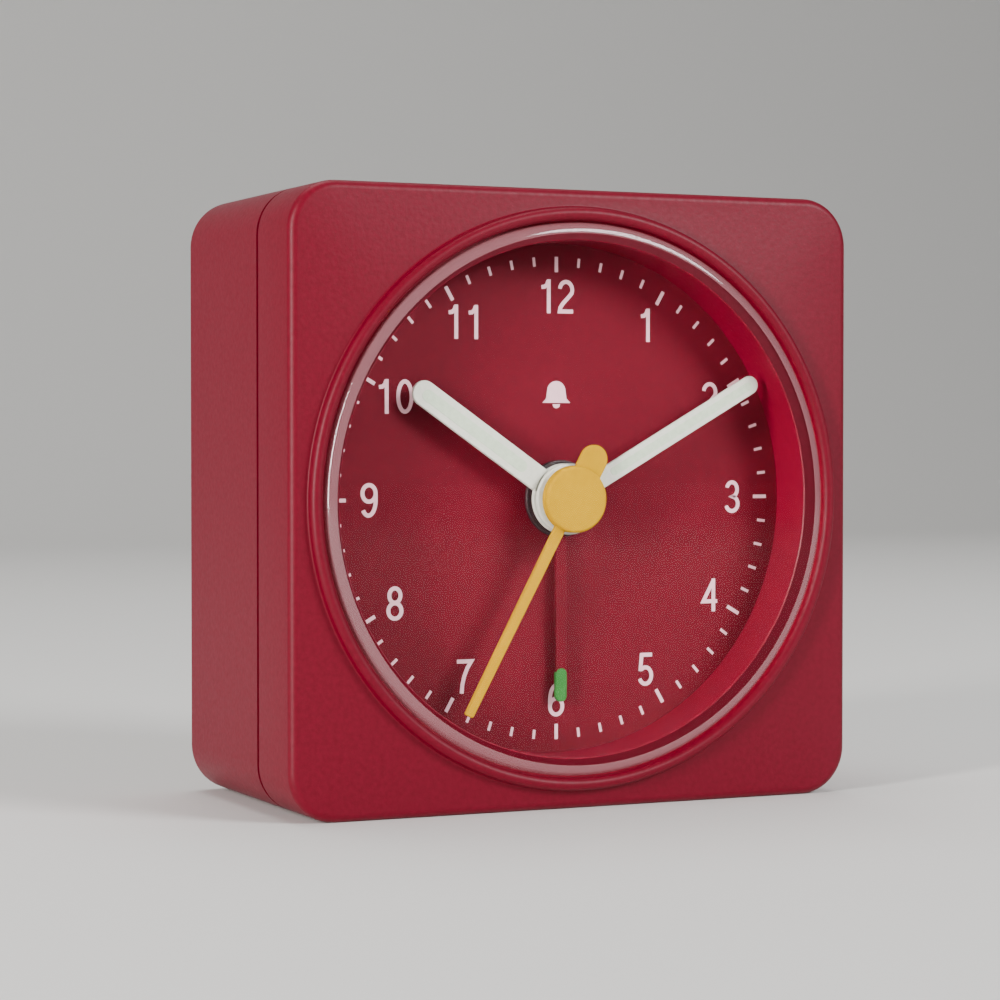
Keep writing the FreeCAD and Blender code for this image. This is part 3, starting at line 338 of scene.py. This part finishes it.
def front_case():
    """The front shell: straight sides, a softened front edge, the ring round the lens, the sleeve."""
    turns = square_turns(HALF, CORNER, SIDE_STEPS, CORNER_STEPS)
    wall = [(WALL + draft, SEAM - rise) for draft, rise in DRAFT]
    loops = [square(HALF - inset, CORNER - inset, depth, turns) for inset, depth in wall]
    window = [(SLEEVE, WALL + BREAK), (SLEEVE, DIAL), (WINDOW + BREAK, DIAL), (WINDOW, DIAL - BREAK),
              (WINDOW, LENS_SEAT + BREAK), (WINDOW + BREAK, LENS_SEAT), (LIP_INNER - SOFT, LENS_SEAT),
              (LIP_INNER, LENS_SEAT - SOFT)]
    half_lip = (LIP_OUTER - LIP_INNER) / 2
    crown = LIP_INNER + half_lip
    lip = arc((LIP_INNER, half_lip - LIP_STAND), (crown, -LIP_STAND), False, 6)
    lip += arc((crown, -LIP_STAND), (LIP_OUTER, half_lip - LIP_STAND), True, 6)[1:]
    lip += arc((LIP_OUTER, -SKIRT), (LIP_OUTER + SKIRT, 0), False, 4)
    loops += [ring(radius, depth, turns) for radius, depth in window + lip]
    edge = arc((EDGE, 0), (0, EDGE), True, 8) + [(0, SEAM - RELIEF), (RELIEF, SEAM)]
    loops += [square(HALF - inset, CORNER - inset, depth, turns) for inset, depth in edge]
    mesh = loft("front_shell", loops, closed=True)
    finish_piece("front_shell", mesh, "case", "case_red", MATERIALS["case_red"], "front_case")


# ---------------------------------------------------------------- lens
def lens():
    """A clear disc, level with the ring; its rounded rim is given a pale pink, partly opaque colour that
    paints in the rim's bright highlight and the red seen through it.
    """
    rim, drop, slack = 1.0, 0.75, 0.05
    rim_start = LENS_RADIUS - rim
    front = arc((rim_start, -LIP_STAND), (LENS_RADIUS, drop - LIP_STAND), True, 10)
    profile = [(TINY, -LIP_STAND), (rim_start - slack, -LIP_STAND)] + front
    profile += [(LENS_RADIUS, LENS_SEAT - slack), (LENS_RADIUS - slack, LENS_SEAT), (TINY, LENS_SEAT)]
    mesh = turned_shape("lens_disc", profile)
    finish_piece("lens_disc", mesh, "case", "clear", MATERIALS["clear"], "lens")
    # The rim faces take the pale pink material whose colour paints in the rim's highlight.
    mesh.materials.append(RIM_PAINTED_HIGHLIGHT)
    behind_front = at(0, 0, 0.001 - LIP_STAND).y
    for face in mesh.polygons:
        centre = face.center
        far = math.hypot(centre.x, centre.z - AXIS * MM)
        face.material_index = int(far > rim_start * MM and centre.y > behind_front)


# ---------------------------------------------------------------- dial
PRINT_THICK = 0.03
TICK_OUTER = 22.6
HOUR_TICK = (1.43, 0.34)
MINUTE_TICK = (0.85, 0.26)
NUMERAL_RADIUS = 18.9
NUMERAL_HEIGHT = 3.15
SHARPEST = 0.45  # keeps the mitre of a sharp corner short


def dial():
    """The dial plate with its print."""
    hole, back = 2.3, DIAL + 0.5
    profile = [(hole, DIAL), (DIAL_RADIUS, DIAL), (DIAL_RADIUS, back), (hole, back)]
    mesh = turned_shape("dial_plate", profile, closed=True)
    finish_piece("dial_plate", mesh, "case", "dial_red", MATERIALS["dial_red"], "dial")
    ticks()
    numerals()
    bell_mark()


def outline_mesh(name, outlines, depth, thick):
    """Flat printed shapes, each an outline of (x, z) points, as thin raised islands."""
    levels = (depth, depth + thick)
    shells = [skin([[at(x, z, level) for x, z in outline] for level in levels]) for outline in outlines]
    return solid_mesh(name, shells)


def stroke(path, width, depth, thick, closed=False):
    """A flat printed line of one width along a path of (x, z) points, with mitred corners."""
    sections = []
    count = len(path)
    under = depth + thick
    for k, (x, z) in enumerate(path):
        before = path[(k - 1) % count] if closed or k else path[0]
        after = path[(k + 1) % count] if closed or k < count - 1 else path[-1]
        into = Vector((x - before[0], z - before[1]))
        out = Vector((after[0] - x, after[1] - z))
        into = (into if into.length else out).normalized()
        out = (out if out.length else into).normalized()
        along = (into + out).normalized()
        side = Vector((-along.y, along.x)) * (width / 2 / max(SHARPEST, along.dot(into)))
        left, right = (x + side.x, z + side.y), (x - side.x, z - side.y)
        sections.append([at(*left, depth), at(*right, depth), at(*right, under), at(*left, under)])
    return skin(sections, closed)


def bow(x, z, across, up, start, end, steps=20):
    """Points of an elliptical arc, its angles in degrees anticlockwise from the right."""
    turns = (math.radians(start + (end - start) * k / steps) for k in range(steps + 1))
    return [(x + across * math.cos(turn), z + up * math.sin(turn)) for turn in turns]


def oval(x, z, across, up, count):
    """Points of a whole ellipse."""
    return bow(x, z, across, up, 0, 360, count)[:-1]


def turned(points, degrees):
    """Points drawn pointing up, turned clockwise."""
    sine, cosine = math.sin(math.radians(degrees)), math.cos(math.radians(degrees))
    return [(x * cosine + z * sine, z * cosine - x * sine) for x, z in points]


def ticks():
    """Sixty minute marks, longer at the hours."""
    marks = []
    for minute in range(60):
        length, width = HOUR_TICK if minute % 5 == 0 else MINUTE_TICK
        bar = [(-width / 2, TICK_OUTER - length), (width / 2, TICK_OUTER - length),
               (width / 2, TICK_OUTER), (-width / 2, TICK_OUTER)]
        marks.append(turned(bar, 6 * minute))
    mesh = outline_mesh("minute_marks", marks, DIAL - PRINT_THICK, PRINT_THICK)
    finish_piece("minute_marks", mesh, "case", "hand_white", PRINT)


# Centre lines of plain sans-serif figures in a box 0.54 wide and 1 high: (path, closed) for each stroke.
RING = oval(0.27, 0.30, 0.205, 0.24, 24)
HOOK = [(0.065, 0.3)] + bow(0.29, 0.5, 0.225, 0.44, 180, 42)
TOP_CURVE = bow(0.27, 0.7, 0.205, 0.24, 172, -25)
FOOT = [(0.33, 0.46), (0.17, 0.3), (0.08, 0.17), (0.06, 0.06), (0.5, 0.06)]
BOWLS = bow(0.25, 0.72, 0.18, 0.22, 165, -90) + bow(0.25, 0.28, 0.205, 0.22, 90, -165)[1:]
BELLY = bow(0.265, 0.31, 0.205, 0.25, 128, -158)
FIGURES = {
    "0": [(oval(0.27, 0.5, 0.21, 0.44, 30), True)],
    "1": [([(0.34, 0), (0.34, 1)], False), ([(0.1, 0.77), (0.2, 0.78), (0.28, 0.84), (0.32, 0.96)], False)],
    "2": [(TOP_CURVE + FOOT, False)],
    "3": [(BOWLS, False)],
    "4": [([(0.4, 0.93), (0.06, 0.31), (0.54, 0.31)], False), ([(0.41, 1), (0.41, 0)], False)],
    "5": [([(0.49, 0.94), (0.14, 0.94), (0.1, 0.51)] + BELLY, False)],
    "6": [(RING, True), (HOOK, False)],
    "7": [([(0.04, 0.94), (0.5, 0.94), (0.37, 0.74), (0.27, 0.5), (0.21, 0.25), (0.19, 0)], False)],
    "8": [(oval(0.27, 0.73, 0.175, 0.21, 24), True), (oval(0.27, 0.285, 0.205, 0.225, 24), True)],
    "9": [([(0.54 - x, 1 - z) for x, z in RING], True), ([(0.54 - x, 1 - z) for x, z in HOOK], False)],
}
FIGURE_STEP = 0.64
FIGURE_WIDTH = 0.54
NUMERAL_STROKE = 0.37
LAYER_STEP = 0.004  # keeps crossing strokes from lying in one plane
BELL_HEIGHT = 9.7


def numerals():
    """Upright figures from 1 to 12, printed a hair proud of the dial."""
    for hour in range(1, 13):
        turn = math.radians(30 * hour)
        figures = str(hour)
        total = FIGURE_WIDTH + FIGURE_STEP * (len(figures) - 1)
        left = NUMERAL_RADIUS * math.sin(turn) - total / 2 * NUMERAL_HEIGHT
        low = NUMERAL_RADIUS * math.cos(turn) - NUMERAL_HEIGHT / 2
        shells = []
        for order, figure in enumerate(figures):
            start = left + order * FIGURE_STEP * NUMERAL_HEIGHT
            for layer, (path, closed) in enumerate(FIGURES[figure]):
                line = [(start + x * NUMERAL_HEIGHT, low + z * NUMERAL_HEIGHT) for x, z in path]
                level = DIAL - PRINT_THICK - LAYER_STEP * layer
                shells.append(stroke(line, NUMERAL_STROKE, level, PRINT_THICK, closed))
        mesh = solid_mesh(f"numeral_{hour}", shells)
        finish_piece(f"numeral_{hour}", mesh, "case", "hand_white", PRINT)


def bell_shells(x, z, size, depth, thick):
    """A plain bell and its clapper, about 2.9 wide at a size of 1."""
    bell = bow(0, 0.35, 0.95, 0.95, 0, 180, 12)
    bell += [(-1.05, -0.35), (-1.45, -0.75), (1.45, -0.75), (1.05, -0.35)]
    clapper = bow(0, -0.87, 0.38, 0.38, 180, 360, 8)
    levels = (depth, depth + thick)
    return [skin([[at(x + u * size, z + w * size, level) for u, w in shape] for level in levels])
            for shape in (bell, clapper)]


def bell_mark():
    """A small plain bell above the centre, for an alarm."""
    shells = bell_shells(0, BELL_HEIGHT, 1, DIAL - PRINT_THICK, PRINT_THICK)
    mesh = solid_mesh("bell_mark", shells)
    finish_piece("bell_mark", mesh, "case", "hand_white", PRINT)


# ---------------------------------------------------------------- hands
HAND_THICK = 0.4
HUB = 3.3
HUB_LAP = 0.6
INLAY_RISE, INLAY_SUNK = 0.03, 0.1
INLAY_START = 1.6  # from the edge of the hub
INLAY_WIDTH, INLAY_END = 0.46, 0.42  # as shares of the hand's width


def bar_outline(low, high, width, round_low, round_high):
    """A straight bar up the page, with either end square or half round."""
    half = width / 2
    top = bow(0, high - half, half, half, 0, 180, 16) if round_high else [(half, high), (-half, high)]
    foot = bow(0, low + half, half, half, 180, 360, 16) if round_low else [(-half, low), (half, low)]
    return top + foot


def flat_piece(name, outlines, angle, depth, thick, body, slot, material, soft=0.08, replaced=()):
    """A thin stamped piece with softened edges, turned to its place on the dial."""
    shapes = [turned(outline, angle) for outline in outlines]
    mesh = outline_mesh(name, shapes, depth, thick)
    piece = finish_piece(name, mesh, body, slot, material, *replaced)
    if soft:
        bevel = piece.modifiers.new("soft_edge", "BEVEL")
        bevel.width = soft * MM
        bevel.segments = 3
        bevel.limit_method = "ANGLE"
        bevel.angle_limit = math.radians(50)
        smooth(mesh)


def hub_piece(name, radius, bore, depth, thick, body, slot, material, soft=0.12):
    """A round hub with a bore and softened rims."""
    outer = arc((radius - soft, depth), (radius, depth + soft), True, 5)
    profile = [(bore, depth)] + outer + [(radius, depth + thick), (bore, depth + thick)]
    mesh = turned_shape(name, profile, closed=True)
    finish_piece(name, mesh, body, slot, material)


def white_hand(name, length, width, depth, angle, bore, body, replaced):
    """A white hand with a narrow luminous inlay, on a white hub."""
    white = MATERIALS["hand_white"]
    blade = bar_outline(HUB - HUB_LAP, length, width, False, True)
    flat_piece(f"{name}_blade", [blade], angle, depth, HAND_THICK, body, "hand_white", white,
               replaced=(replaced,))
    inlay = bar_outline(HUB + INLAY_START, length - width * INLAY_END, width * INLAY_WIDTH, True, True)
    flat_piece(f"{name}_lume", [inlay], angle, depth - INLAY_RISE, INLAY_RISE + INLAY_SUNK, body,
               "hand_white", LUME, soft=0)
    hub_piece(f"{name}_hub", HUB, bore, depth, HAND_THICK, body, "hand_white", white)


def second_hand():
    """The yellow second hand: cap over the hub, blade, and a tail with a round end."""
    yellow = MATERIALS["hand_yellow"]
    depth, cap, flat = 0.9, 3.1, 1.9
    soft, drop = 0.35, 0.3
    blade_depth, blade = 1.4, 0.5
    under = blade_depth + blade
    top = arc((cap - soft, depth), (cap, depth + drop), True, 7)
    profile = [(TINY, depth), (flat, depth)] + top + [(cap, under), (TINY, under)]
    mesh = turned_shape("second_cap", profile)
    finish_piece("second_cap", mesh, "second", "hand_yellow", yellow, "second_hand")
    near, far, tip, nip = 0.55, 0.42, 22.4, 0.12
    taper = [(-near, 0), (-far, tip - nip), (nip - far, tip), (far - nip, tip), (far, tip - nip), (near, 0)]
    flat_piece("second_blade", [taper], SECOND_ANGLE, blade_depth, blade, "second", "hand_yellow", yellow)
    tail_reach, tail_width, tail_lift, tail_thinner = 5.54, 2.7, 0.06, 0.02
    tail = bar_outline(-tail_reach, 0, tail_width, True, False)
    flat_piece("second_tail", [tail], SECOND_ANGLE, blade_depth - tail_lift, blade - tail_thinner, "second",
               "hand_yellow", yellow)


def alarm_hand():
    """The alarm hand: dark hub, dial-coloured shaft, rounded green tip."""
    depth, reach_out, lap = 4.3, 19.0, 0.4
    shaft_width, bore = 1.1, 1.9
    tip_length, tip_width, tip_lift = 3.15, 1.15, 0.06
    tip_start = reach_out - tip_length
    shaft = bar_outline(HUB - lap, tip_start + lap, shaft_width, False, False)
    flat_piece("alarm_shaft", [shaft], ALARM_ANGLE, depth, HAND_THICK, "alarm", "hand_alarm",
               MATERIALS["dial_red"], replaced=("alarm_hand",))
    tip = bar_outline(tip_start, reach_out, tip_width, True, True)
    flat_piece("alarm_tip", [tip], ALARM_ANGLE, depth - tip_lift, HAND_THICK + tip_lift, "alarm",
               "hand_alarm", GREEN)
    hub_piece("alarm_hub", HUB + 0.3, bore, depth, HAND_THICK, "alarm", "hand_alarm",
              MATERIALS["hand_alarm"])


# ---------------------------------------------------------------- back and top
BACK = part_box("rear_case")[1].y / MM - FRONT
KNOBS = {"time_knob": "time_setter", "alarm_knob": "alarm_setter"}
SWITCH_TRAVEL = 3
HEAD_LENGTH, HEAD_HALF = 1.1, 0.62  # of an arrow


def middle(name):
    """The centre of a CAD node, from the hand axis, in millimetres."""
    low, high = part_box(name)
    return (low.x + high.x) / 2 / MM, (low.z + high.z) / 2 / MM - AXIS


def arrow_arc(x, z, radius, start, end, width, depth, thick):
    """A curved arrow: an arc with a triangular head at its end."""
    shaft = stroke(bow(x, z, radius, radius, start, end), width, depth, thick)
    turn = math.radians(end)
    lead = math.copysign(1, end - start)
    along = (-math.sin(turn) * lead, math.cos(turn) * lead)
    out = (math.cos(turn), math.sin(turn))
    tip = (x + radius * out[0] + HEAD_LENGTH * along[0], z + radius * out[1] + HEAD_LENGTH * along[1])
    sides = (radius - HEAD_HALF, radius + HEAD_HALF)
    base = [(x + side * out[0], z + side * out[1]) for side in sides]
    head = [[at(*spot, level) for spot in (tip, *base)] for level in (depth, depth + thick)]
    return [shaft, skin(head)]


def knob_faces():
    """A raised curved arrow on each knob, which turns with it."""
    for knob, body in KNOBS.items():
        x, z = middle(knob)
        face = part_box(knob)[1].y / MM - FRONT
        shells = arrow_arc(x, z, radius=2.4, start=150, end=-60, width=0.36, depth=face - SUNK, thick=0.1)
        mesh = solid_mesh(f"{knob}_arrow", shells)
        finish_piece(f"{knob}_arrow", mesh, body, "black_plastic", MATERIALS["frame_plastic"])


def back_marks():
    """Small plain marks beside the controls: a clock face, a bell, and the switch's two positions."""
    depth, thick, line = BACK - 0.005, 0.03, 0.22
    face, hour, minute, dot_radius = 1.3, (-0.65, -0.4), (0, 0.95), 0.42
    above_time, above_alarm, above_switch = 7.4, 7.6, 3.4
    x, z = middle("time_knob")
    z += above_time
    marks = [stroke(oval(x, z, face, face, 30), line, depth, thick, True),
             stroke([(x + minute[0], z + minute[1]), (x, z), (x + hour[0], z + hour[1])], line, depth, thick)]
    x, z = middle("alarm_knob")
    marks += bell_shells(x, z + above_alarm, 0.85, depth, thick)
    x, z = middle("alarm_switch")
    z += above_switch
    levels = (depth, depth + thick)
    dot = oval(x, z, dot_radius, dot_radius, 32)
    marks.append(skin([[at(*spot, level) for spot in dot] for level in levels]))
    circle = oval(x + SWITCH_TRAVEL, z, dot_radius, dot_radius, 32)
    marks.append(stroke(circle, line, depth, thick, True))
    mesh = solid_mesh("back_marks", marks)
    finish_piece("back_marks", mesh, "case", "hand_white", MARK)


def ribs(name, body, count, pitch, half, width, rise, spot, upward, material, slot):
    """Parallel moulded ribs with rounded backs, on a face that looks backwards or upwards."""
    shells = []
    for k in range(count):
        offset = (k - (count - 1) / 2) * pitch
        section = bow(0, 0, width / 2, rise, 0, 180, 8)
        loops = []
        for end in (-half, half):
            if upward:
                loops.append([spot + Vector((end, u + offset, w)) * MM for u, w in section])
            else:
                loops.append([spot + Vector((u + offset, w, end)) * MM for u, w in section])
        shells.append(skin(loops))
    mesh = solid_mesh(name, shells)
    smooth(mesh)
    finish_piece(name, mesh, body, slot, material)


def grips():
    """Fine ribs on the snooze bar and on the alarm switch."""
    low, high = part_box("snooze_bar")
    centre = (low + high) / 2
    ribs("snooze_ribs", "snooze", count=5, pitch=1.1, half=11.5, width=0.45, rise=0.09, upward=True,
         spot=Vector((centre.x, centre.y, high.z)), material=MATERIALS["case_red"], slot="case_red")
    low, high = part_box("alarm_switch")
    centre = (low + high) / 2
    ribs("switch_ribs", "switch", count=4, pitch=0.8, half=1.3, width=0.34, rise=0.08, upward=False,
         spot=Vector((centre.x, high.y, centre.z)), material=MATERIALS["black_plastic"],
         slot="black_plastic")


def door_mark():
    """A raised triangle under the thumb groove of the battery door."""
    x, z = middle("battery_door")
    half, above, below, rise = 1.3, 1.4, 0.5, 0.15
    shape = [(x - half, z + above), (x + half, z + above), (x, z - below)]
    mesh = outline_mesh("door_mark", [shape], BACK - SUNK, rise + SUNK)
    finish_piece("door_mark", mesh, "door", "case_red", MATERIALS["case_red"])


# ---------------------------------------------------------------- battery
CELL_ROUND = 96


def about_cell(profile):
    """Circles about the cell's own axis, each from an X and a radius."""
    low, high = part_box("battery")
    y, z = (low.y + high.y) / 2, (low.z + high.z) / 2
    turns = even_turns(CELL_ROUND)
    loops = []
    for x, radius in profile:
        spots = ((radius * MM * math.sin(turn), radius * MM * math.cos(turn)) for turn in turns)
        loops.append([Vector((x * MM, y + across, z + up)) for across, up in spots])
    return loops


def battery():
    """The cell: plated ends, and a dark sleeve with a copper-coloured band."""
    low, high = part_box("battery")
    start, end = low.x / MM, high.x / MM
    radius = (high.z - low.z) / 2 / MM
    inner, top, foot = radius - 0.25, radius - 1.4, radius - 1.2
    nub, nub_length, nub_soft = 2.75, 1.0, 0.3
    face = start + nub_length
    can = [(start, TINY), (start, nub - nub_soft), (start + nub_soft, nub), (face, nub), (face, top),
           (face + 0.5, inner), (end - 0.4, inner), (end, foot), (end, TINY)]
    mesh = loft("cell_can", about_cell(can))
    finish_piece("cell_can", mesh, "case", "steel", MATERIALS["steel"], "battery")
    bare, split = 0.35, start + 15
    sleeve_inner, nip = radius - 0.3, 0.06
    for name, first, last, material in (("cell_band", face + bare, split, MATERIALS["copper"]),
                                        ("cell_sleeve", split, end - bare, MATERIALS["cell_jacket"])):
        tube = [(first, sleeve_inner), (first, radius - nip), (first + nip, radius),
                (last - nip, radius), (last, radius - nip), (last, sleeve_inner)]
        mesh = loft(name, about_cell(tube), closed=True)
        finish_piece(name, mesh, "case", "cell_jacket", material)


# ---------------------------------------------------------------- stage, light and camera
def stage():
    """A pale floor that sweeps up behind."""
    steps = 24
    width, front, back, rise, sweep = 2.2, -1.6, 1.1, 1.3, 0.5
    profile = [(front, 0.0), (back - sweep, 0.0)]
    for k in range(1, steps + 1):
        bend = math.pi / 2 * k / steps
        profile.append((back - sweep + sweep * math.sin(bend), sweep - sweep * math.cos(bend)))
    profile.append((back, rise))
    points = [(side * width, y, z) for y, z in profile for side in (-1, 1)]
    faces = [(2 * k, 2 * k + 1, 2 * k + 3, 2 * k + 2) for k in range(len(profile) - 1)]
    mesh = bpy.data.meshes.new("floor")
    mesh.from_pydata(points, [], faces)
    mesh.shade_smooth()
    floor = bpy.data.objects.new("floor", mesh)
    bpy.context.scene.collection.objects.link(floor)
    paper = new_material("pale_floor", srgb(226, 224, 220), 0.8)
    grain(paper, 1.2, 0.02)
    mesh.materials.append(paper)


def light(name, spot, wide, tall, watts, tint=(1, 1, 1)):
    lamp = bpy.data.lights.new(name, "AREA")
    lamp.shape = "ELLIPSE"
    lamp.size = wide
    lamp.size_y = tall
    lamp.energy = watts
    lamp.color = tint
    holder = bpy.data.objects.new(name, lamp)
    bpy.context.scene.collection.objects.link(holder)
    holder.location = spot
    aim = Vector((0, 0, AXIS * MM)) - holder.location
    holder.rotation_euler = aim.to_track_quat("-Z", "Y").to_euler()


def lights():
    """A soft key from the front right, a tall strip on the left, a soft light above, and a dim sky."""
    light("key", spot=(0.42, -0.6, 0.4), wide=0.34, tall=0.34, watts=6.4, tint=(0.97, 0.98, 1))
    light("strip", spot=(-0.5, -0.24, 0.06), wide=0.09, tall=0.6, watts=7.0, tint=(1, 0.98, 0.97))
    light("top", spot=(0.0, 0.2, 0.8), wide=0.6, tall=0.6, watts=3.6)
    world = bpy.data.worlds.new("studio")
    bpy.context.scene.world = world
    world.use_nodes = True
    background = world.node_tree.nodes["Background"]
    background.inputs["Color"].default_value = (0.9, 0.92, 0.95, 1)
    background.inputs["Strength"].default_value = 0.24


def camera():
    """Close to the clock, to its left, at the height of its middle."""
    lens_mm, distance, azimuth, elevation = 100, 0.267, -24.7, 1.3
    data = bpy.data.cameras.new("camera")
    data.lens = lens_mm
    data.clip_start = 0.01
    holder = bpy.data.objects.new("camera", data)
    bpy.context.scene.collection.objects.link(holder)
    turn, lift = math.radians(azimuth), math.radians(elevation)
    target = Vector((-0.002, 0, (AXIS - 0.3) * MM))
    away = Vector((math.sin(turn) * math.cos(lift), -math.cos(turn) * math.cos(lift), math.sin(lift)))
    holder.location = target + away * distance
    holder.rotation_euler = (-away).to_track_quat("-Z", "Y").to_euler()
    bpy.context.scene.camera = holder


# ---------------------------------------------------------------- build
front_case()
lens()
dial()
white_hand("hour", length=18.4, width=2.35, depth=3.4, angle=HOUR_ANGLE, bore=1.4, body="hour",
           replaced="hour_hand")
white_hand("minute", length=22.8, width=1.75, depth=2.45, angle=MINUTE_ANGLE, bore=0.9, body="minute",
           replaced="minute_hand")
second_hand()
alarm_hand()
knob_faces()
back_marks()
grips()
door_mark()
battery()
stage()
lights()
camera()
